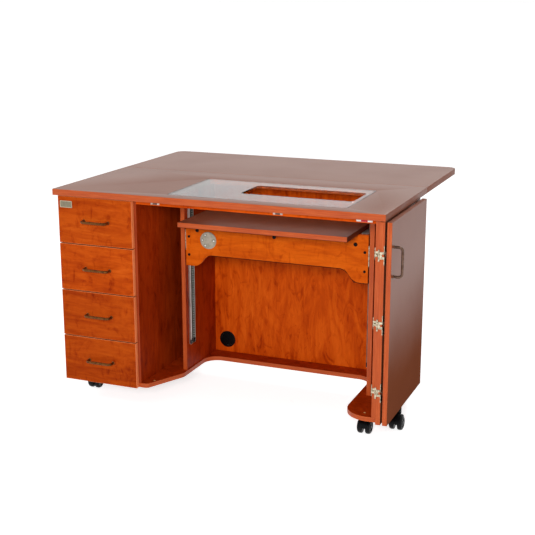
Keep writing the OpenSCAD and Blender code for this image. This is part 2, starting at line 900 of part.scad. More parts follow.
module door_outer() {
    in_frame() color(laminate) difference() {
        span([outer_x0, door_y0, base_h], [outer_x1, door_y1, door_top]);
        translate([caster_places[4].x, caster_places[4].y, base_h - 1])
            cylinder(r = stem_r + pin_fit, h = stem_l + 1 + stem_room);
        span([outer_x0 - 1, outer_strike_y - strike_l / 2, strike_z],
            [outer_x0 + strike_t, outer_strike_y + strike_l / 2, strike_z + catch_h]);
    }
}

module door_outer_strike() {
    in_frame() color(steel) span([outer_x0, outer_strike_y - strike_l / 2, strike_z],
        [outer_x0 + strike_t, outer_strike_y + strike_l / 2, strike_z + catch_h]);
}

module door_handle() {
    in_frame() color(bronze) translate([outer_x1, door_handle_y, door_handle_h])
        rotate([0, -90, 90]) bent_bar(door_handle_cc, door_handle_out);
}

module rear_leaf() {
    y0 = main_d + leaf_gap;
    in_frame() color(laminate) translate([0, 0, under_top]) linear_extrude(top_t) difference() {
        translate([0, y0]) square([top_w, leaf_d]);
        corner_patch([0, total_d], 270, 360, leaf_corner_r);
        corner_patch([top_w, total_d], 180, 270, leaf_corner_r);
    }
}

// Leaf hinges: two outer knuckles and the pin stay with the worktop
module leaf_hinge_plates() {
    half = leaf_plate_w / 2;
    in_frame() color(steel) for (x = leaf_xs) {
        span([x - half, leaf_pin_y - leaf_knuckle_r - leaf_plate_l, under_top - leaf_plate_t],
            [x + half, leaf_pin_y - leaf_knuckle_r - slack, under_top]);
        for (x0 = [x - half, x + leaf_knuckle_w / 2]) {
            x1 = x0 + half - leaf_knuckle_w / 2;
            rod_x(x0, x1, leaf_pin_y, leaf_pin_z, leaf_knuckle_r);
            span([x0, leaf_pin_y - leaf_knuckle_r - 1, leaf_pin_z],
                [x1, leaf_pin_y, leaf_pin_z + leaf_knuckle_r]);
        }
        rod_x(x - half, x + half, leaf_pin_y, leaf_pin_z, hinge_pin_r);
    }
}

module leaf_hinge_wings() {
    half = leaf_plate_w / 2;
    inner = leaf_knuckle_w / 2 - edge_slip;
    in_frame() color(steel) for (x = leaf_xs) difference() {
        union() {
            span([x - half, leaf_pin_y + leaf_knuckle_r + slack, under_top - leaf_plate_t],
                [x + half, leaf_pin_y + leaf_knuckle_r + leaf_plate_l, under_top]);
            rod_x(x - inner, x + inner, leaf_pin_y, leaf_pin_z, leaf_knuckle_r);
            span([x - inner, leaf_pin_y, leaf_pin_z],
                [x + inner, leaf_pin_y + leaf_knuckle_r + 1, leaf_pin_z + leaf_knuckle_r]);
        }
        rod_x(x - inner - 1, x + inner + 1, leaf_pin_y, leaf_pin_z, hinge_pin_r + pin_fit);
    }
}

// A slotted angle under the leaf for each strut
module leaf_arms() {
    y0 = leaf_pin_y + arm_start;
    slot_half = strut_pin_r + slack;
    slot_z = leaf_pin_z - pin_drop;
    in_frame() color(steel) for (x = strut_xs) difference() {
        union() {
            span([x, y0, under_top - arm_w], [x + arm_t, arm_y1, under_top]);
            span([x - arm_w, y0, under_top - arm_t], [x + arm_t, arm_y1, under_top]);
        }
        span([x - 1, slot_y0, slot_z - slot_half], [x + arm_t + 1, slot_y1, slot_z + slot_half]);
    }
}

// A plate on the back panel with an ear and a pin for each strut
module strut_wall_plates() {
    in_frame() color(steel) for (x = strut_xs) {
        strut_x = x + arm_t + slack;
        ear_x = strut_x + strut_t + edge_slip;
        span([ear_x - wall_plate_w, back_out, strut_z - wall_plate_below],
            [ear_x + arm_t, back_out + arm_t, strut_z + wall_plate_above]);
        span([ear_x, back_out, strut_z - ear_r], [ear_x + arm_t, strut_y, strut_z + ear_r]);
        rod_x(ear_x, ear_x + arm_t, strut_y, strut_z, ear_r);
        rod_x(strut_x - slack / 2, ear_x + 1, strut_y, strut_z, strut_pin_r);
    }
}

module leaf_struts() {
    lean = atan2(strut_drop - pin_drop, pin_up_y - strut_y);
    in_frame() color(steel) for (x = strut_xs) {
        translate([x + arm_t + slack, strut_y, strut_z]) rotate([lean, 0, 0]) {
            rod_x(strut_t, strut_t + rivet_h, strut_l, 0, rivet_r);
            difference() {
                union() {
                    rod_x(0, strut_t, 0, 0, strut_half);
                    rod_x(0, strut_t, strut_l, 0, strut_half);
                    span([0, 0, -strut_half], [strut_t, strut_l, strut_half]);
                }
                rod_x(-1, strut_t + 1, 0, 0, strut_pin_r + pin_fit);
            }
        }
    }
}

// One caster's fork: stem, boss, web and hood, with the stem's axis at x = y = 0
module caster_fork(i) {
    place = caster_places[i];
    hood_r = wheel_r + hood_gap + hood_t;
    boss_z = base_h - slack;
    in_frame() color(black) translate([place.x, place.y, 0]) rotate([0, 0, place.z]) difference() {
        union() {
            translate([0, 0, boss_z]) cylinder(r = stem_r, h = stem_l + slack);
            translate([0, 0, wheel_r * 2]) cylinder(r = boss_r, h = boss_z - wheel_r * 2);
            intersection() {
                difference() {
                    rod_x(-hood_half, hood_half, -trail, wheel_r, hood_r);
                    rod_x(-hood_half - 1, hood_half + 1, -trail, wheel_r, wheel_r + hood_gap);
                }
                span([-hood_half, -trail - hood_r, wheel_r + hood_rise],
                    [hood_half, -trail + hood_r, 2 * hood_r]);
            }
            intersection() {
                rod_x(-web_half, web_half, -trail, wheel_r, hood_r);
                span([-web_half, -trail - 2 * hood_rise, wheel_r - 2 * hood_rise],
                    [web_half, hood_r, 2 * hood_r]);
            }
        }
        rod_x(-web_half - 1, web_half + 1, -trail, wheel_r, axle_r + pin_fit);
    }
}

module caster_wheels(i) {
    place = caster_places[i];
    inner = web_half + web_gap;
    in_frame() color("#2b2b2e") translate([place.x, place.y, 0]) rotate([0, 0, place.z])
        translate([0, -trail, wheel_r]) rotate([0, 90, 0]) {
            cylinder(r = axle_r, h = 2 * (inner + wheel_w - axle_end), center = true);
            for (side = [-1, 1]) scale([1, 1, side])
                translate([0, 0, inner]) rotate_extrude() {
                    square([wheel_r, wheel_w - tread_r]);
                    square([wheel_r - tread_r, wheel_w]);
                    translate([wheel_r - tread_r, wheel_w - tread_r]) circle(tread_r);
                }
        }
}

worktop();
machine_insert();
front_rail();
left_side();
drawer_partition();
lift_partitions();
right_side();
floor_panel();
back_panel();
cable_grommet();
drawer_rails();
lift_rails();
door_catches();
door_hinge_plates();
leaf_hinge_plates();
strut_wall_plates();
for (i = [0:3]) {
    drawer_front(i);
    drawer_box(i);
    drawer_runners(i);
    drawer_handle(i);
}
name_plate();
lift_platform();
lift_brace();
lift_carriages();
brace_plate();
brace_screws();
door_inner();
door_hinge_wings();
fold_leaves_inner();
door_inner_strikes();
door_outer();
fold_leaves_outer();
door_outer_strike();
door_handle();
rear_leaf();
leaf_hinge_wings();
leaf_arms();
leaf_struts();
for (i = [0:4]) {
    caster_fork(i);
    caster_wheels(i);
}
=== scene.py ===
import math

import bmesh
import bpy
from mathutils import Matrix, Vector


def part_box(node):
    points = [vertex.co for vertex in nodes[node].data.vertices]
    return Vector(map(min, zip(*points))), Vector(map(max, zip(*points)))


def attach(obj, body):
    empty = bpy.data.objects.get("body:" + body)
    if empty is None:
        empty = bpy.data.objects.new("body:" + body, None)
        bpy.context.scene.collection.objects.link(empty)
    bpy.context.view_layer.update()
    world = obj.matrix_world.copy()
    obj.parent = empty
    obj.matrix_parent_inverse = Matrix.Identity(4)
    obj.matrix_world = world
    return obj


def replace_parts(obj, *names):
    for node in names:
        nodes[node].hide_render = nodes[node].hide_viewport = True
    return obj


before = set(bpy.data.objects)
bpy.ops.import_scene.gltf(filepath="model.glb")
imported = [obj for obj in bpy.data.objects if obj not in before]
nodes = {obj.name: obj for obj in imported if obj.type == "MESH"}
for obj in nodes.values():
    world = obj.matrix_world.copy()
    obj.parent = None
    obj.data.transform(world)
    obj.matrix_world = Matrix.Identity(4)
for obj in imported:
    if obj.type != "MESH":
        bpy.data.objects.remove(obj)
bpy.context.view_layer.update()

scene = bpy.context.scene
scene.view_settings.view_transform = "Standard"
mm = 0.001


# The view: the cabinet seen from its right front, a little above the worktop,
# on a plain pale floor in soft studio light.
class Value:
    """A shader value. Python's own operators add the Math nodes between values."""

    def __init__(self, finish, socket):
        self.finish = finish
        self.socket = socket

    def __add__(self, other):
        return self.finish.math("ADD", self, other)

    def __sub__(self, other):
        return self.finish.math("SUBTRACT", self, other)

    def __rsub__(self, other):
        return self.finish.math("SUBTRACT", other, self)

    def __mul__(self, other):
        return self.finish.math("MULTIPLY", self, other)

    __radd__ = __add__
    __rmul__ = __mul__


def shade(red, green, blue):
    """A colour as it is seen on a screen, 0 to 255 each, for a shader's socket."""

    def straight(c):
        c = min(max(c, 0), 255) / 255
        return c / 12.92 if c <= 0.04045 else ((c + 0.055) / 1.055) ** 2.4

    return (straight(red), straight(green), straight(blue), 1)


class Finish:
    """A material: one Principled shader and the nodes that feed it."""

    def __init__(self, name, **constants):
        self.material = bpy.data.materials.new(name)
        self.material.use_nodes = True
        self.tree = self.material.node_tree
        self.shader = self.tree.nodes["Principled BSDF"]
        for socket, value in constants.items():
            self.shader.inputs[socket.replace("_", " ")].default_value = value

    def node(self, kind, settings=None, inputs=None, out=0):
        made = self.tree.nodes.new(kind)
        for key, value in (settings or {}).items():
            if key == "stops":
                ramp = made.color_ramp
                while len(ramp.elements) < len(value):
                    ramp.elements.new(1)
                for element, (place, colour) in zip(ramp.elements, value):
                    element.position = place
                    element.color = colour
            else:
                setattr(made, key, value)
        for key, value in (inputs or {}).items():
            if isinstance(value, Value):
                self.tree.links.new(value.socket, made.inputs[key])
            else:
                made.inputs[key].default_value = value
        return Value(self, made.outputs[out])

    def math(self, operation, a, b=0.0):
        return self.node("ShaderNodeMath", {"operation": operation}, {0: a, 1: b})

    def clamp(self, value):
        return self.node("ShaderNodeClamp", None, {"Value": value})

    def place(self, scale=(1, 1, 1), shift=(0, 0, 0)):
        spot = self.node("ShaderNodeTexCoord", None, None, "Object")
        return self.node("ShaderNodeMapping", None, {"Vector": spot, "Scale": scale, "Location": shift})

    def axes(self, spot):
        """The X, Y and Z of a place."""
        return [self.node("ShaderNodeSeparateXYZ", None, {0: spot}, k) for k in range(3)]

    def noise(self, spot, scale, detail=4, rough=0.55, warp=0.0):
        return self.node("ShaderNodeTexNoise", None, {"Vector": spot, "Scale": scale,
            "Detail": detail, "Roughness": rough, "Distortion": warp})

    def ramp(self, value, *stops):
        return self.node("ShaderNodeValToRGB", {"stops": stops}, {"Fac": value})

    def band(self, value, low, high):
        """0 below low, 1 above high and a smooth rise between."""
        return self.node("ShaderNodeMapRange", {"interpolation_type": "SMOOTHSTEP"},
            {"Value": value, "From Min": low, "From Max": high})

    def mix(self, part, a, b):
        return self.node("ShaderNodeMix", {"data_type": "RGBA"}, {0: part, 6: a, 7: b}, 2)

    def bump(self, height, strength=0.3, depth=0.001):
        return self.node("ShaderNodeBump", None,
            {"Height": height, "Strength": strength, "Distance": depth})

    def feed(self, **values):
        for socket, value in values.items():
            self.tree.links.new(value.socket, self.shader.inputs[socket.replace("_", " ")])
        return self


def link(name, data):
    made = bpy.data.objects.new(name, data)
    scene.collection.objects.link(made)
    return made


camera = link("camera", bpy.data.cameras.new("camera"))
camera.location = (1.4704, -3.65485, 1.4407)
camera.rotation_euler = (math.radians(90 - 14.364), 0, math.radians(22.13))
camera.data.lens = 73.1
camera.data.sensor_width = 36
camera.data.clip_end = 400
scene.camera = camera

# The floor is lit as any pale floor is, and glows a little where it is seen.
floor_grid = bmesh.new()
bmesh.ops.create_grid(floor_grid, x_segments=1, y_segments=1, size=120)
floor_data = bpy.data.meshes.new("studio_floor")
floor_grid.to_mesh(floor_data)
floor_grid.free()
studio_floor = link("studio_floor", floor_data)


def seen_rays(made):
    """1 for the rays that show the studio: seen, mirrored or through glass."""
    kinds = [made.node("ShaderNodeLightPath", None, None, f"Is {kind} Ray")
        for kind in ("Camera", "Glossy", "Transmission")]
    return made.clamp(kinds[0] + kinds[1] + kinds[2])


pale = Finish("studio_white", Base_Color=shade(226, 226, 226), Roughness=0.9)
pale.shader.inputs["Specular IOR Level"].default_value = 0.1
glow = pale.node("ShaderNodeEmission", None, {"Color": (1, 1, 1, 1), "Strength": 0.74})
dark = pale.node("ShaderNodeEmission", None, {"Color": (0, 0, 0, 1), "Strength": 0})
lit = pale.node("ShaderNodeMixShader", None, {0: seen_rays(pale), 1: dark, 2: glow})
both = pale.node("ShaderNodeAddShader", None, {0: lit, 1: Value(pale, pale.shader.outputs[0])})
pale.tree.links.new(both.socket, pale.tree.nodes["Material Output"].inputs["Surface"])
floor_data.materials.append(pale.material)


class Studio(Finish):
    """The studio's walls, as a world: plain white when seen, and dimmer as a light."""

    def __init__(self, name, light):
        world = bpy.data.worlds.new(name)
        world.use_nodes = True
        scene.world = world
        self.tree = world.node_tree
        background = self.tree.nodes["Background"]
        background.inputs["Color"].default_value = (1, 1, 1, 1)
        level = seen_rays(self) * (1 - light) + light
        self.tree.links.new(level.socket, background.inputs["Strength"])


Studio("studio", 0.34)

# The key lamp isn't mirrored, or it would show in the worktop: the small spark lamp
# beside it gives the metal its highlights.
for name, place, aim, size, power, mirrored in (
    ("key_lamp", (1.15, -4.25, 1.8), (0, -0.2, 0.45), 1.1, 104, False),
    ("spark_lamp", (1.15, -4.2, 1.8), (0, -0.2, 0.45), 0.4, 6, True),
    ("left_lamp", (-3.6, -1.4, 2.4), (0, 0, 0.4), 1.6, 26, True),
    ("right_lamp", (3.8, 0.6, 2.1), (0.4, -0.1, 0.4), 1.4, 8, True),
    ("back_lamp", (0.6, 3.4, 3.9), (0, 0, 0.4), 1.6, 62, True),
):
    lamp = bpy.data.lights.new(name, "AREA")
    lamp.shape = "DISK"
    lamp.size = size
    lamp.energy = power
    lit_by = link(name, lamp)
    lit_by.visible_glossy = mirrored
    lit_by.location = place
    lit_by.rotation_euler = (Vector(place) - Vector(aim)).to_track_quat("Z", "Y").to_euler()


# Carcass boards: melamine-faced board with a cherry print, printed darker and redder
# inside the bay as a painted shade, with a plain orange-red band ironed onto each
# visible edge. The arrises are eased.
def brown_laminate(name, base, deep, sheen=1.0, worn=None):
    """Brown cherry laminate: nearly plain, with a faint grain under a satin lacquer that has
    gone dull in patches; where worn gives heights, a painted reflection fading out below them."""
    made = Finish(name, Specular_IOR_Level=0.0, Coat_Roughness=0.3)
    cloud = made.noise(made.place(), 3.1, 3)
    grain = made.noise(made.place((6, 60, 60)), 9, 3, 0.6, 0.4)
    fleck = made.noise(made.place((40, 260, 260)), 7, 2, 0.5)
    tone = made.clamp(0.5 * cloud + 0.35 * grain + 0.25 * fleck - 0.05)
    shine = made.band(cloud, 0.1, 0.6) * 0.14 * sheen + 0.86 * sheen
    if worn:
        height = made.axes(made.place())[2]
        shine = shine * made.band(height + cloud * 0.1, *worn)
    return made.feed(
        Base_Color=made.ramp(tone, (0.3, deep), (0.7, base)),
        Roughness=made.band(cloud, 0.2, 0.85) * 0.12 + 0.42,
        Coat_Weight=shine,
        Normal=made.bump(fleck, 0.1, 0.0002))


orange_red = (shade(164, 62, 20), shade(186, 80, 30), shade(208, 102, 50))


def edge_band(name, scale, colours=orange_red, shine=0.36):
    """The edge band's plain colour, dark to light, in faint streaks along its length."""
    made = Finish(name, Specular_IOR_Level=shine)
    streak = made.noise(made.place(scale), 6, 3, 0.6, 0.3)
    soft = made.noise(made.place(), 9, 3)
    tone = made.clamp(0.7 * streak + 0.3 * soft)
    return made.feed(
        Base_Color=made.ramp(tone, *zip((0.28, 0.5, 0.74), colours)),
        Roughness=made.band(soft, 0.2, 0.8) * 0.14 + 0.38,
        Normal=made.bump(streak, 0.1, 0.0003))


def figured_cherry(name, grain, dim=1.0, shift=(0, 0, 0), depth=1.0, red=1.0):
    """A cherry print. Along the grain run wavy streaks; dark tongues of figure and
    short darker ticks lie over them. Grain is "x" or "z"; red takes the orange down."""

    def stretched(wide, long):
        return (wide, wide, long) if grain == "z" else (long, wide, wide)

    def dimmed(r, g, b):
        return shade(r * dim, g * dim * red, b * dim * red)

    made = Finish(name, Specular_IOR_Level=0.06)
    bend = made.noise(made.place((1, 1, 1), shift), 3.4, 2)
    wide = made.noise(made.place(stretched(19, 4), shift), 1.0, 4, 0.6, 1.8)
    fine = made.noise(made.place(stretched(95, 13), shift), 1.0, 4, 0.65, 0.8)
    tongue = made.noise(made.place((21, 21, 10), shift), 1.0, 4, 0.6, 2.2)
    tick = made.noise(made.place(stretched(210, 62), shift), 1.0, 3, 0.7, 0.4)
    dark = made.band(tongue, 0.5, 0.72)
    tone = made.band(wide, 0.3, 0.7) * 0.5 + made.band(fine, 0.25, 0.75) * 0.26 + bend * 0.7 - 0.23
    tone = made.clamp((tone - dark * 0.42 - 0.5) * depth + 0.58)
    base = made.ramp(tone, (0.05, dimmed(130, 34, 0)), (0.3, dimmed(162, 53, 2)),
        (0.55, dimmed(186, 70, 7)), (0.78, dimmed(202, 84, 14)), (0.97, dimmed(214, 98, 26)))
    ticked = made.band(tick, 0.6, 0.7) * (dark * 0.3 + 0.24) * depth
    return made.feed(
        Base_Color=made.mix(ticked, base, dimmed(112, 28, 0)),
        Roughness=made.band(wide, 0.2, 0.8) * 0.14 + 0.44,
        Normal=made.bump(fine, 0.08, 0.0003))


band_level = edge_band("edge_band_level", (2, 2, 60))
band_upright = edge_band("edge_band_upright", (60, 60, 2))
# The bay's print is dimmed and reddened as a painted shade.
bay_cherry_painted_shade = figured_cherry("cherry_bay_painted_shade", "z", 0.84, (3, 1, 2), 0.8, 0.8)
back_cherry = figured_cherry("cherry_back", "z", 1.08, (0, 0, 5), 0.7)
brown_side = brown_laminate("brown_laminate_side", shade(138, 82, 56), shade(124, 70, 46), 0.5)


def piece(name, bm, finishes, body, smooth=20):
    """Makes the object, gives it its finishes, and fixes it to its body."""
    data = bpy.data.meshes.new(name)
    bm.to_mesh(data)
    bm.free()
    for face in data.polygons:
        face.use_smooth = True
    data.set_sharp_from_angle(angle=math.radians(smooth))
    for finish in finishes:
        data.materials.append(finish.material)
    made = link(name, data)
    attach(made, body)
    return made


def copy_of(node):
    """A node's own shape, with its triangles joined and its flat faces made whole."""
    bm = bmesh.new()
    bm.from_mesh(nodes[node].data)
    bmesh.ops.remove_doubles(bm, verts=bm.verts, dist=1e-6)
    bmesh.ops.dissolve_limit(bm, angle_limit=math.radians(0.5), verts=bm.verts, edges=bm.edges)
    return bm


def ease(bm, width, steps=2, angle=35, arris=None):
    """Rounds a shape's arrises; arris gives their finish from their normal, if they
    have one of their own."""
    sharp = [e for e in bm.edges if e.calc_face_angle(0) > math.radians(angle)]
    rounded = bmesh.ops.bevel(bm, geom=sharp, offset=width, offset_type="OFFSET", segments=steps,
        profile=0.5, affect="EDGES", clamp_overlap=True, material=-1)
    for face in rounded["faces"] if arris else ():
        face.normal_update()
        face.material_index = arris(face.normal, face.material_index)


def eased(node, finishes, body, pick=None, width=0.8 * mm, steps=2, arris=None):
    """A node's shape with eased arrises, in its stead: pick gives each face's finish
    from its normal and its middle."""
    bm = copy_of(node)
    for face in bm.faces:
        face.material_index = pick(face.normal, face.calc_center_median()) if pick else 0
    ease(bm, width, steps, arris=arris)
    made = piece(node + "_made", bm, finishes, body)
    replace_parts(made, node)


def front_banded(normal, middle):
    return 1 if normal.y < -0.5 else 0


def round_banded(normal, middle):
    return 0 if abs(normal.z) > 0.5 else 1


eased("left_side", [brown_side, band_upright], "cabinet", front_banded)
band_dim = edge_band("edge_band_dim", (60, 60, 2),
    (shade(134, 44, 14), shade(152, 58, 20), shade(170, 74, 34)))
eased("drawer_partition", [bay_cherry_painted_shade, band_dim], "cabinet", front_banded)
eased("lift_partitions", [bay_cherry_painted_shade, band_upright], "cabinet", front_banded)
eased("right_side", [brown_side, band_upright, bay_cherry_painted_shade], "cabinet",
    lambda n, m: 1 if n.y < -0.5 else 2 if n.x < -0.5 else 0)
eased("floor_panel", [bay_cherry_painted_shade, band_level], "cabinet", round_banded)
eased("back_panel", [back_cherry, band_upright], "cabinet",
    lambda n, m: 1 if abs(n.x) > 0.5 else 0)


# Floor screws: two brass screws, driven into the floor panel near the knee space, that
# hold the partition and the right side's foot.
def brushed(name, base, worn, rough, scale, metallic=1.0, fine=26):
    """Metal with a fine brushed grain and duller patches."""
    made = Finish(name, Metallic=metallic)
    line = made.noise(made.place(scale), 5, 3, 0.6)
    patch = made.noise(made.place(), fine, 4, 0.6)
    return made.feed(
        Base_Color=made.mix(made.band(patch, 0.36, 0.7), base, worn),
        Roughness=made.clamp(line * 0.22 + patch * 0.16 + rough),
        Normal=made.bump(line, 0.08, 0.0002))


def screw_head(bm, spot, axis, radius, height, finish=0):
    """A pan head with a cross recess, seated at a spot and facing along an axis."""
    old = set(bm.verts)
    ring = bmesh.ops.create_circle(bm, cap_ends=True, segments=12, radius=radius)["verts"]
    face = ring[0].link_faces[0]
    foot = list(face.edges)
    face.normal_update()
    if face.normal.z < 0:
        face.normal_flip()
    for inset, rise in ((0.02, 0.35), (0.2, 0.45), (0.24, 0.2)):
        bmesh.ops.inset_individual(bm, faces=[face], thickness=inset * radius, depth=rise * height)
    arm, half = 0.42 * radius, 0.12 * radius
    outline = [(arm, -half), (arm, half), (half, half)]
    start = max(range(12), key=lambda k: face.verts[k].co.x - 0.5 * face.verts[k].co.y)
    for k in range(12):
        vert = face.verts[(start + k) % 12]
        x, y = outline[k % 3]
        quarter = Matrix.Rotation(math.radians(90 * (k // 3)), 2)
        vert.co.x, vert.co.y = quarter @ Vector((x, y))
    bmesh.ops.inset_individual(bm, faces=[face], thickness=0.02 * radius, depth=-0.55 * height)
    bmesh.ops.holes_fill(bm, edges=foot, sides=12)
    new = [v for v in bm.verts if v not in old]
    facing = Vector(axis).to_track_quat("Z", "Y").to_matrix().to_4x4()
    bmesh.ops.transform(bm, verts=new, matrix=Matrix.Translation(spot) @ facing)
    for made in {f for v in new for f in v.link_faces}:
        made.material_index = finish


brass = brushed("screw_brass", shade(252, 222, 158), shade(228, 184, 112), 0.3, (200, 200, 200), 0.7)
floor_low, floor_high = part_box("floor_panel")
by_partition = (floor_low.x + 331 * mm, floor_low.y + 41.5 * mm)
by_right_foot = (floor_high.x - 48 * mm, floor_low.y + 33.5 * mm)
head_r, head_t = 4 * mm, 1.2 * mm
bm = bmesh.new()
for x, y in (by_partition, by_right_foot):
    screw_head(bm, (x, y, floor_high.z), (0, 0, 1), head_r, head_t)
piece("floor_screws", bm, [brass], "cabinet")

# Worktop and rear leaf: thick board under brown laminate, with a rectangular opening
# routed through the front part. The front edge has the orange-red band, the others a
# brown one, a painted shade and sheen.
brown_top = brown_laminate("brown_laminate_top", shade(146, 87, 56), shade(132, 74, 46), 0.78)
# The brown band is the orange-red band painted darker and greyer: a painted shade and sheen.
band_painted_shade_brown = edge_band("edge_band_painted_shade_brown", (2, 2, 60),
    (shade(124, 68, 46), shade(138, 79, 56), shade(150, 90, 66)), 0.12)
for node, body in (("worktop", "cabinet"), ("rear_leaf", "leaf")):
    eased(node, [brown_top, band_level, band_painted_shade_brown], body,
        lambda n, m: 0 if abs(n.z) > 0.5 else 1 if n.y < -0.5 else 2, 1.2 * mm, 3)


# Insert: a clear acrylic plate with a rectangular hole, lying on a ledge round the
# worktop's opening.
acrylic = Finish("clear_acrylic", Base_Color=shade(246, 250, 249), Transmission_Weight=1.0, IOR=1.2)
acrylic.feed(Roughness=acrylic.noise(acrylic.place(), 40, 4, 0.6) * 0.04,
    Normal=acrylic.bump(acrylic.noise(acrylic.place(), 7, 2), 0.02, 0.0005))
eased("machine_insert", [acrylic], "insert", width=0.5 * mm)


# Front rail: a cherry strip under the worktop's front edge, with three magnetic
# catches let into it: two zinc-plated ones and a white one with a red magnet.
def block(bm, low, high, finish=0, width=0.0, steps=2):
    """A block between two corners, its arrises rounded to a width."""
    old = set(bm.verts)
    made = bmesh.ops.create_cube(bm, size=1)["verts"]
    low, high = Vector(low), Vector(high)
    bmesh.ops.transform(bm, verts=made,
        matrix=Matrix.Translation((low + high) / 2) @ Matrix.Diagonal((*(high - low), 1)))
    if width:
        bmesh.ops.bevel(bm, geom=list({e for v in made for e in v.link_edges}), offset=width,
            offset_type="OFFSET", segments=steps, profile=0.5, affect="EDGES",
            clamp_overlap=True, material=-1)
    for face in bm.faces:
        if all(v not in old for v in face.verts):
            face.material_index = finish


def moulded(name, base, worn, rough, specular=0.3):
    """Moulded plastic: a fine spark-eroded grain, scuffed a little lighter."""
    made = Finish(name, Specular_IOR_Level=specular)
    skin = made.noise(made.place(), 900, 2)
    scuff = made.noise(made.place(), 60, 5, 0.65)
    return made.feed(
        Base_Color=made.mix(made.band(scuff, 0.5, 0.8), base, worn),
        Roughness=made.clamp(scuff * 0.2 + rough),
        Normal=made.bump(skin, 0.12, 0.0002))


rail_cherry = figured_cherry("cherry_rail", "x", 1.14, (2, 0, 1), 0.5)
eased("front_rail", [rail_cherry], "cabinet")
zinc = brushed("zinc_steel", shade(228, 228, 224), shade(188, 188, 182), 0.16, (30, 30, 300))
catch_steel = brushed("catch_steel", shade(226, 212, 202), shade(186, 170, 160), 0.3, (30, 30, 300), 0.6)
magnet = moulded("catch_magnet", shade(104, 82, 74), shade(138, 114, 102), 0.4)
white_plastic = moulded("catch_white", shade(240, 236, 230), shade(222, 216, 208), 0.3)
red_plastic = moulded("catch_red", shade(196, 18, 44), shade(206, 40, 58), 0.3)
catch_low, catch_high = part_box("door_catches")
steel_half, white_half, middle_in = 17 * mm, 27 * mm, 463 * mm
shell_proud, core_proud, core_deep, core_in = 0.05 * mm, 0.15 * mm, 2 * mm, 0.8 * mm
catches = bmesh.new()
for x, half, share, shell, core in (
    (catch_low.x + steel_half, steel_half, 0.5, 0, 1),
    (catch_low.x + middle_in, steel_half, 0.5, 0, 1),
    (catch_high.x - white_half, white_half, 0.4, 2, 3),
):
    low = (x - half, catch_low.y - shell_proud, catch_low.z)
    high = (x + half, catch_high.y, catch_high.z)
    block(catches, low, high, shell, 1.6 * mm, 3)
    for side in (-1, 1):
        screw_head(catches, (x + side * 0.78 * half, low[1], (low[2] + high[2]) / 2),
            (0, -1, 0), 1.8 * mm, 0.15 * mm, shell)
    block(catches, (x - share * half, low[1] - core_proud, low[2] + core_in),
        (x + share * half, low[1] + core_deep, high[2] - core_in), core, 0.15 * mm)
made = piece("catches_made", catches, [catch_steel, magnet, white_plastic, red_plastic], "cabinet")
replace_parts(made, "door_catches")


# Drawer fronts: figured cherry print on the face, with the grain across, and banded
# edges: the arrises and side edges are painted pale as a highlight, the top and bottom
# edges dark as the shadow in the gaps. The lower two are printed a little darker.
band_painted_highlight = edge_band("edge_band_painted_highlight", (60, 60, 2),
    (shade(236, 120, 64), shade(246, 140, 84), shade(252, 164, 110)))
band_painted_shadow = edge_band("edge_band_painted_shadow", (2, 2, 60),
    (shade(84, 28, 8), shade(98, 34, 10), shade(116, 44, 16)), 0.1)
for i, dim in enumerate((0.97, 1.0, 0.95, 0.94)):
    print_of = figured_cherry(f"cherry_front_{i + 1}", "x", dim, (1.7 * i, 0, 2.3 * i), 0.72)
    eased(f"drawer_front_{i + 1}", [print_of, band_painted_highlight, band_painted_shadow], f"drawer_{i + 1}",
        lambda n, m: 0 if abs(n.y) > 0.5 else 1 if abs(n.x) > 0.5 else 2, 1 * mm,
        arris=lambda n, finish: 1)

# Drawer boxes: sealed birch plywood, grooved for the bottom, screwed to the fronts.
birch = Finish("drawer_birch", Specular_IOR_Level=0.3)
growth = birch.noise(birch.place((3, 3, 40)), 3, 5, 0.6, 0.6)
birch.feed(
    Base_Color=birch.ramp(growth, (0.3, shade(196, 168, 124)), (0.7, shade(226, 204, 164))),
    Roughness=birch.band(growth, 0.2, 0.8) * 0.2 + 0.45,
    Normal=birch.bump(growth, 0.15, 0.0005))
for i in range(1, 5):
    eased(f"drawer_box_{i}", [birch], f"drawer_{i}", width=0.5 * mm)
    eased(f"drawer_runners_{i}", [zinc], f"drawer_{i}", width=0.3 * mm, steps=1)
eased("drawer_rails", [zinc], "cabinet", width=0.3 * mm, steps=1)


# Handles: bent rod with an antique bronze finish, standing on small round feet that
# hide the screws. The one on the outer door has worn to a greyer pewter.
def turn(bm, profile, centre, axis, finish=0, steps=32, ring=False):
    """Turns a profile of radius and distance along the axis, as on a lathe. A ring's
    profile is closed."""
    old = set(bm.faces)
    axis, centre = Vector(axis).normalized(), Vector(centre)
    side = axis.orthogonal().normalized()
    verts = [bm.verts.new(centre + side * r + axis * h) for r, h in profile]
    if ring:
        verts.append(verts[0])
    edges = [bm.edges.new(pair) for pair in zip(verts, verts[1:])]
    bmesh.ops.spin(bm, geom=list(set(verts)) + edges, cent=centre, axis=axis, dvec=(0, 0, 0),
        angle=math.tau, steps=steps, use_merge=True)
    new = [f for f in bm.faces if f not in old]
    bmesh.ops.remove_doubles(bm, verts=list({v for f in new for v in f.verts}), dist=1e-7)
    new = [f for f in bm.faces if f not in old]
    bmesh.ops.recalc_face_normals(bm, faces=new)
    for face in new:
        face.material_index = finish


bronze = brushed("handle_bronze", shade(120, 74, 30), shade(72, 42, 14), 0.12, (60, 300, 300), 0.8, 90)
pewter = brushed("handle_pewter", shade(108, 82, 68), shade(78, 56, 44), 0.1, (300, 300, 40), 0.8, 60)
foot_profile = ((0, 0), (6.2, 0), (6.2, 0.6), (5.4, 1.2), (4.8, 2.2), (4.6, 4), (0, 4))


def handle(node, finish, body, face, ends):
    """A bent rod with its feet: face is the way out of the board, ends the feet's middles."""
    bm = copy_of(node)
    for end in ends:
        turn(bm, [(r * mm, h * mm) for r, h in foot_profile], end, face, 0, 24)
    made = piece(node + "_made", bm, [finish], body, 40)
    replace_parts(made, node)


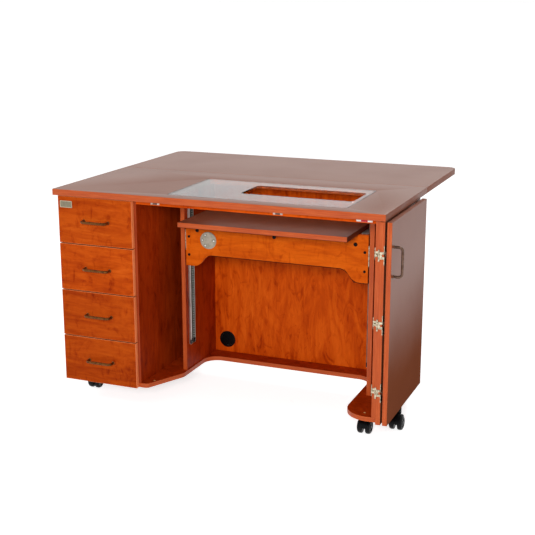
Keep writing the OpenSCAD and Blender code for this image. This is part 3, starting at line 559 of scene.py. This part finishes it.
rod = 4.5 * mm
for i in range(1, 5):
    low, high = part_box(f"drawer_handle_{i}")
    z = (low.z + high.z) / 2
    handle(f"drawer_handle_{i}", bronze, f"drawer_{i}", (0, -1, 0),
        [(low.x + rod, high.y, z), (high.x - rod, high.y, z)])
low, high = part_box("door_handle")
y = (low.y + high.y) / 2
handle("door_handle", pewter, "outer_door", (1, 0, 0),
    [(low.x, y, low.z + rod), (low.x, y, high.z - rod)])

# Name plate: a small blank plate of satin metal with a raised rim, stuck on the
# top drawer's front.
satin = brushed("plate_satin", shade(188, 178, 152), shade(160, 150, 126), 0.24, (40, 300, 300))
dulled = brushed("plate_field", shade(146, 138, 118), shade(120, 112, 94), 0.4, (40, 300, 300))
rim_w, slope_w, field_deep = 1.8 * mm, 0.5 * mm, 0.4 * mm
plate = copy_of("name_plate")
front = min(plate.faces, key=lambda f: f.calc_center_median().y)
bmesh.ops.inset_individual(plate, faces=[front], thickness=rim_w, depth=0)
bmesh.ops.inset_individual(plate, faces=[front], thickness=slope_w, depth=-field_deep)
front.material_index = 1
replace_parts(piece("name_plate_made", plate, [satin, dulled], "drawer_1"), "name_plate")


# Lift rails: zinc-plated channels, lined on three sides by a thin ball cage. Each has a
# black end clip at the foot and a bright stop block screwed in at the head. The right
# one's front edge is a dull brown-grey, a painted shade.
rail_painted_shade = brushed("zinc_rail_painted_shade", shade(128, 92, 74), shade(104, 74, 60), 0.42, (30, 30, 300), 0.3)
rail_low, rail_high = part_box("lift_rails")
rail_middle = (rail_low.x + rail_high.x) / 2
eased("lift_rails", [zinc, rail_painted_shade], "cabinet",
    lambda n, m: 1 if n.y < -0.5 and m.x > rail_middle else 0, 0.4 * mm, 1)
wall_t, rail_depth, track = 1.5 * mm, 10 * mm, 7.5 * mm
cage = Finish("ball_cage", Specular_IOR_Level=0.4)
x, y, z = cage.axes(cage.place())
pitch, ball = 9 * mm, 2.4 * mm
row = (rail_high.x - rail_low.x) / 2 - 4.5 * mm
step = cage.math("FRACT", z * (1 / pitch)) * pitch - pitch / 2
away = cage.math("ABSOLUTE", x - rail_middle) - row
balls = 1 - cage.band(cage.math("SQRT", step * step + away * away), 0.7 * ball, ball)
grease = cage.noise(cage.place(), 120, 4)
cage.feed(
    Base_Color=cage.mix(balls, shade(84, 82, 76), shade(206, 208, 204)),
    Metallic=balls * 0.8,
    Roughness=grease * 0.3 + 0.2,
    Normal=cage.bump(balls, 0.4, 0.0006))
clip = moulded("rail_clip", shade(10, 10, 11), shade(24, 24, 25), 0.35)
foot, head = rail_low.z, rail_high.z
y0, y1 = rail_low.y, rail_high.y
cage_t = 0.15 * mm
inner_y0, inner_y1 = y0 + wall_t, y1 - wall_t
cage_foot, cage_head = foot + 18 * mm, head - 14 * mm
clip_foot, clip_head = foot + 0.5 * mm, foot + 17 * mm
bm = bmesh.new()
for outer, inward in ((rail_low.x, 1), (rail_high.x, -1)):
    for x0, x1, ya, yb, za, zb, finish in (
        (wall_t, wall_t + cage_t, inner_y0, inner_y1, cage_foot, cage_head, 0),
        (wall_t, track, inner_y1 - cage_t, inner_y1, cage_foot, cage_head, 0),
        (wall_t, track, inner_y0, inner_y0 + cage_t, cage_foot, cage_head, 0),
        (wall_t, wall_t + cage_t, inner_y0, inner_y1, clip_foot, clip_head, 1),
        (wall_t, rail_depth, inner_y1 - cage_t, inner_y1, clip_foot, clip_head, 1),
        (4 * mm, rail_depth, y0 - 0.8 * mm, y0, foot + 1 * mm, clip_head, 1),
        (wall_t, track, y0 + 4 * mm, y1 - 4 * mm, head - 12 * mm, head - 3 * mm, 2),
    ):
        near, far = sorted((outer + x0 * inward, outer + x1 * inward))
        block(bm, (near, ya, za), (far, yb, zb), finish, 0.05 * mm, 1)
    stop_screw = (outer + track * inward, (y0 + y1) / 2, head - 7.5 * mm)
    screw_head(bm, stop_screw, (inward, 0, 0), 3.4 * mm, 1.4 * mm, 2)
piece("rail_fittings", bm, [cage, clip, zinc], "cabinet")

# Lift: brown platform with a banded front, its lower front arris a painted shadow line,
# and the cherry brace board, with a black strip glued along its arch. Sliders with angle
# brackets carry both boards, and a bright flange shows at each brace end.
brown_shelf = brown_laminate("brown_laminate_shelf", shade(118, 60, 40), shade(100, 48, 31), 0.4)
black_and_shadow = edge_band("edge_band_black_and_painted_shadow", (2, 2, 60),
    (shade(36, 10, 5), shade(46, 14, 7), shade(60, 22, 11)), 0.05)
brace_cherry = figured_cherry("cherry_brace", "x", 1.12, (4, 0, 0), 0.5, 1.12)


# The platform's lower front arris takes the dark finish: a painted shadow line.
def painted_shadow_arris(normal, finish):
    return 2 if normal.z < -0.2 and normal.y < -0.2 else finish


eased("lift_platform", [brown_shelf, band_level, black_and_shadow], "lift", front_banded,
    1.5 * mm, 3, painted_shadow_arris)
eased("lift_brace", [brace_cherry, band_level], "lift",
    lambda n, m: 0 if abs(n.y) > 0.5 else 1)
eased("lift_carriages", [zinc], "lift", width=0.3 * mm, steps=1)
brace_low, brace_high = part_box("lift_brace")
strip_from, strip_t, facing_down = brace_low.x + 84 * mm, 2.2 * mm, -0.3
bm = copy_of("lift_brace")
bmesh.ops.bisect_plane(bm, geom=bm.verts[:] + bm.edges[:] + bm.faces[:],
    plane_co=(strip_from, 0, 0), plane_no=(1, 0, 0), clear_inner=True)
bmesh.ops.delete(bm, geom=[f for f in bm.faces if f.normal.z > facing_down], context="FACES")
grown = bmesh.ops.extrude_face_region(bm, geom=bm.faces[:])["geom"]
lowered = [v for v in grown if isinstance(v, bmesh.types.BMVert)]
bmesh.ops.translate(bm, vec=(0, 0, -strip_t), verts=lowered)
bmesh.ops.recalc_face_normals(bm, faces=bm.faces[:])
piece("brace_strip", bm, [black_and_shadow], "lift")
nickel = brushed("hinge_nickel", shade(212, 198, 172), shade(112, 100, 78), 0.1, (90, 90, 300), 0.9, 150)
flange_low, flange_high = brace_low.z + 57 * mm, brace_low.z + 129 * mm
flange_near, flange_far = 0.4 * mm, 3.2 * mm
bm = bmesh.new()
for x0, x1 in (
    (brace_low.x - flange_far, brace_low.x - flange_near),
    (brace_high.x + flange_near, brace_high.x + flange_far),
):
    block(bm, (x0, brace_low.y + 1 * mm, flange_low),
        (x1, brace_high.y + 2 * mm, flange_high), 0, 0.5 * mm)
piece("brace_flanges", bm, [nickel], "lift")

# Round plate on the brace: dull grey metal with a chamfered rim, held by four bright
# screws.
greyed = brushed("brace_plate_grey", shade(178, 168, 152), shade(150, 146, 130), 0.3, (90, 90, 90), 0.5, 60)
plate_low, plate_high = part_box("brace_plate")
plate_x, plate_z = (plate_low.x + plate_high.x) / 2, (plate_low.z + plate_high.z) / 2
plate_r, plate_t = (plate_high.x - plate_low.x) / 2, plate_high.y - plate_low.y
field_t = plate_t - 0.4 * mm
plate_profile = ((0, 0), (plate_r, 0), (plate_r, plate_t - 1.2 * mm), (plate_r - 1.6 * mm, plate_t),
    (plate_r - 3 * mm, plate_t), (plate_r - 3.6 * mm, field_t), (0, field_t))
bm = bmesh.new()
turn(bm, plate_profile, (plate_x, plate_high.y, plate_z), (0, -1, 0), 0, 64)
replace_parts(piece("brace_plate_made", bm, [greyed], "lift"), "brace_plate")
bright = brushed("screw_bright", shade(254, 254, 250), shade(232, 230, 222), 0.24, (200, 200, 200), 0.6)
blackened = moulded("black_steel", shade(8, 6, 6), shade(22, 17, 16), 0.4, 0.12)
screw_ring, washer_r = 22 * mm, 4.4 * mm
washer_profile = ((0, 0), (washer_r, 0), (washer_r, 0.2 * mm), (0, 0.3 * mm))
bm = bmesh.new()
for angle in (0, 120, 180, 240):
    turned = math.radians(angle)
    spot = (plate_x + screw_ring * math.cos(turned), plate_low.y + 0.4 * mm,
        plate_z + screw_ring * math.sin(turned))
    turn(bm, washer_profile, spot, (0, -1, 0), 1, 24)
    screw_head(bm, spot, (0, -1, 0), 3.5 * mm, 1.9 * mm)
piece("plate_screws", bm, [bright, blackened], "lift")

# Brace screws and bolts: black domed heads, four at the ends into the brackets and
# three along the top edge into the platform's angle.
screw_in, bolt_in, bolt_up = 12 * mm, 45 * mm, 131 * mm
screw_r, bolt_r, dome_t = 5 * mm, 7 * mm, 2.5 * mm
bm = bmesh.new()
for x in (brace_low.x + screw_in, brace_high.x - screw_in):
    for rise in (40 * mm, 106 * mm):
        screw_head(bm, (x, brace_low.y, brace_low.z + rise), (0, -1, 0), screw_r, dome_t)
for x in (brace_low.x + bolt_in, (brace_low.x + brace_high.x) / 2, brace_high.x - bolt_in):
    screw_head(bm, (x, brace_low.y, brace_low.z + bolt_up), (0, -1, 0), bolt_r, dome_t)
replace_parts(piece("brace_screws_made", bm, [blackened], "lift"), "brace_screws")

# Cable grommet: a black plastic sleeve with rounded lips, pressed into the back panel.
# A thin cap with a button in its middle closes it, but for a slot with a flap behind it.
black = moulded("black_plastic", shade(5, 5, 6), shade(13, 13, 15), 0.32, 0.12)
hole_low, hole_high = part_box("cable_grommet")
hole_x, hole_z = (hole_low.x + hole_high.x) / 2, (hole_low.z + hole_high.z) / 2
lip_r, sleeve = (hole_high.x - hole_low.x) / 2, hole_high.y - hole_low.y
bore, lip_t, neck_r = 25 * mm, 2 * mm, 29.7 * mm
mouth_r, lip_in = bore + 0.8 * mm, lip_r - 1.5 * mm
sleeve_profile = ((bore, 1.2 * mm), (mouth_r, 0), (lip_in, 0), (lip_r, 0.9 * mm), (lip_r, lip_t),
    (neck_r, lip_t), (neck_r, sleeve - lip_t), (lip_r, sleeve - lip_t), (lip_r, sleeve - 0.9 * mm),
    (lip_in, sleeve), (mouth_r, sleeve), (bore, sleeve - 1.2 * mm))
bm = bmesh.new()
turn(bm, sleeve_profile, (hole_x, hole_low.y, hole_z), (0, 1, 0), 0, 64, True)
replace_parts(piece("cable_grommet_made", bm, [black], "cabinet"), "cable_grommet")


def sector(bm, inner, outer, front, thick, start, turned):
    """A flat sector of a disc round the grommet's axis, from start degrees past down."""
    old = set(bm.faces)
    ray = Matrix.Rotation(math.radians(start), 3, "Y") @ Vector((0, 0, -1))
    corners = [bm.verts.new(Vector((hole_x, front + deep, hole_z)) + ray * r)
        for r, deep in ((inner, 0), (outer, 0), (outer, thick), (inner, thick))]
    side = bm.faces.new(corners)
    bmesh.ops.spin(bm, geom=[side] + list(side.edges) + list(side.verts), cent=(hole_x, 0, hole_z),
        axis=(0, 1, 0), dvec=(0, 0, 0), angle=math.radians(turned), steps=max(3, round(turned / 8)))
    bmesh.ops.recalc_face_normals(bm, faces=[f for f in bm.faces if f not in old])


slot_half = 14
cap_t, flap_t = 2 * mm, 1 * mm
cap_y, flap_y = hole_low.y + 2.5 * mm, hole_low.y + 4.7 * mm
button_profile = ((0, 0), (3.6 * mm, 0), (3 * mm, 0.6 * mm), (0, 0.9 * mm))
bm = bmesh.new()
sector(bm, 3 * mm, bore - 0.2 * mm, cap_y, cap_t, slot_half, 360 - 2 * slot_half)
sector(bm, 1 * mm, bore - 0.4 * mm, flap_y, flap_t, -2 * slot_half, 4 * slot_half)
turn(bm, button_profile, (hole_x, cap_y, hole_z), (0, -1, 0))
piece("grommet_cap", bm, [black], "cabinet")

# Doors: brown laminate panels, with the orange-red band up both sides and the brown
# painted-shade band on the top and bottom edges. Their coat fades out towards the floor,
# a painted darkening of the reflection.
brown_door = brown_laminate("brown_laminate_door", shade(144, 82, 56), shade(132, 72, 47), 0.6, (0.22, 0.66))
for node, body in (("door_inner", "inner_door"), ("door_outer", "outer_door")):
    eased(node, [brown_door, band_upright, band_painted_shade_brown], body,
        lambda n, m: 0 if abs(n.x) > 0.5 else 1 if abs(n.y) > 0.5 else 2)
eased("door_inner_strikes", [zinc], "inner_door", width=0.3 * mm)
eased("door_outer_strike", [zinc], "outer_door", width=0.3 * mm)

# Door hinges: nickel-plated pressings with screws. Three swing hinges stand at the
# front of the right side, three fold hinges lie between the two panels.
for node, body in (("door_hinge_plates", "cabinet"), ("door_hinge_wings", "inner_door"),
        ("fold_leaves_inner", "inner_door"), ("fold_leaves_outer", "outer_door")):
    eased(node, [nickel], body, width=0.25 * mm, steps=1)
swing_low, swing_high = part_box("door_hinge_plates")
inner_low, inner_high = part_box("door_inner")
outer_low, outer_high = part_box("door_outer")
steel_dark = brushed("screw_nickel", shade(150, 140, 112), shade(84, 78, 58), 0.2, (200, 200, 200), 1, 200)
middle_z = (swing_low.z + swing_high.z) / 2
hinge_pitch, screw_rise = 228 * mm, 24 * mm
fold_t, fold_in, wing_in = 1.5 * mm, 16 * mm, 14 * mm
fixed, on_inner, on_outer = bmesh.new(), bmesh.new(), bmesh.new()
for z in (middle_z - hinge_pitch, middle_z, middle_z + hinge_pitch):
    plate_spot = (swing_low.x + 6.5 * mm, inner_low.y + 15 * mm, z)
    screw_head(fixed, plate_spot, (0, -1, 0), 3 * mm, 0.7 * mm)
    for rise in (-screw_rise, screw_rise):
        wing_spot = (inner_high.x, inner_low.y + wing_in, z + rise)
        inner_spot = (inner_high.x + fold_t, inner_high.y - fold_in, z + rise)
        outer_spot = (outer_low.x - fold_t, outer_high.y - fold_in, z + rise * 0.8)
        screw_head(on_inner, wing_spot, (1, 0, 0), 3.2 * mm, 0.3 * mm)
        screw_head(on_inner, inner_spot, (1, 0, 0), 3 * mm, 0.8 * mm)
        screw_head(on_outer, outer_spot, (-1, 0, 0), 3 * mm, 0.8 * mm)
piece("swing_hinge_screws", fixed, [steel_dark], "cabinet")
piece("inner_hinge_screws", on_inner, [steel_dark], "inner_door")
piece("outer_hinge_screws", on_outer, [steel_dark], "outer_door")

# Leaf hinges and supports: zinc-plated steel under the joint of worktop and leaf,
# slotted arms under the leaf, and struts on plates screwed to the back panel.
for node, body in (("leaf_hinge_plates", "cabinet"), ("strut_wall_plates", "cabinet"),
        ("leaf_hinge_wings", "leaf"), ("leaf_arms", "leaf"), ("leaf_struts", "struts")):
    eased(node, [zinc], body, width=0.35 * mm, steps=1)
under_low, under_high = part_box("leaf_hinge_plates")
wing_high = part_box("leaf_hinge_wings")[1]
wall_low, wall_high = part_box("strut_wall_plates")
arm_low, arm_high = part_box("leaf_arms")
metal_t, hinge_half, hinge_in = 2 * mm, 30 * mm, 10 * mm
small_r, small_t = 3.6 * mm, 1.4 * mm
on_top, on_leaf = bmesh.new(), bmesh.new()
under_z = under_high.z - metal_t
for x in (under_low.x + hinge_half, (under_low.x + under_high.x) / 2, under_high.x - hinge_half):
    for shift in (-20 * mm, 20 * mm):
        screw_head(on_top, (x + shift, under_low.y + hinge_in, under_z), (0, 0, -1), small_r, small_t)
        screw_head(on_leaf, (x + shift, wing_high.y - hinge_in, under_z), (0, 0, -1), small_r, small_t)
for x in (wall_low.x + 14 * mm, wall_high.x - 16 * mm):
    for up in (10 * mm, 92 * mm, 138 * mm):
        screw_head(on_top, (x, wall_low.y + metal_t, wall_low.z + up), (0, 1, 0), 4 * mm, 1.6 * mm)
for x in (arm_low.x + 9 * mm, arm_high.x - 13 * mm):
    for y in (arm_low.y + 15 * mm, (arm_low.y + arm_high.y) / 2, arm_high.y - 15 * mm):
        screw_head(on_leaf, (x, y, arm_high.z - metal_t), (0, 0, -1), small_r, small_t)
piece("support_screws", on_top, [zinc], "cabinet")
piece("leaf_screws", on_leaf, [zinc], "leaf")

# Casters: twin wheels of black plastic with dished hubs, under a moulded hood.
wheel = moulded("wheel_plastic", shade(5, 5, 7), shade(14, 14, 18), 0.26, 0.16)
hub = moulded("hub_plastic", shade(9, 9, 13), shade(20, 20, 28), 0.2, 0.3)
wheel_profile = ((0, 6), (21, 6), (23.4, 6.6), (24.6, 8), (24.98, 10.5), (24.98, 15), (24.5, 18),
    (22.8, 20.9), (20, 22.5), (17, 23), (16, 22.6), (15, 20.2), (8, 19.6), (7, 20.4), (6.6, 22.4),
    (5, 23), (0, 23))
hub_out, hub_r = 19 * mm, 16 * mm
axle_r, axle_half = 3 * mm, 6 * mm
axle_profile = ((0, -axle_half), (axle_r, -axle_half), (axle_r, axle_half), (0, axle_half))
for i in range(1, 6):
    eased(f"caster_fork_{i}", [black], f"caster_{i}", width=0.8 * mm)
    low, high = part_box(f"caster_wheels_{i}")
    centre = (low + high) / 2
    bm = bmesh.new()
    for side in (-1, 1):
        turn(bm, [(r * mm, h * mm) for r, h in wheel_profile], centre, (side, 0, 0), 0, 48)
    for face in bm.faces:
        out = abs(face.calc_center_median().x - centre.x)
        away = (face.calc_center_median() - centre).yz.length
        face.material_index = 1 if out > hub_out and away < hub_r else 0
    turn(bm, axle_profile, centre, (1, 0, 0), 1, 24)
    made = piece(f"caster_wheels_{i}_made", bm, [wheel, hub], f"wheels_{i}")
    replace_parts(made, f"caster_wheels_{i}")
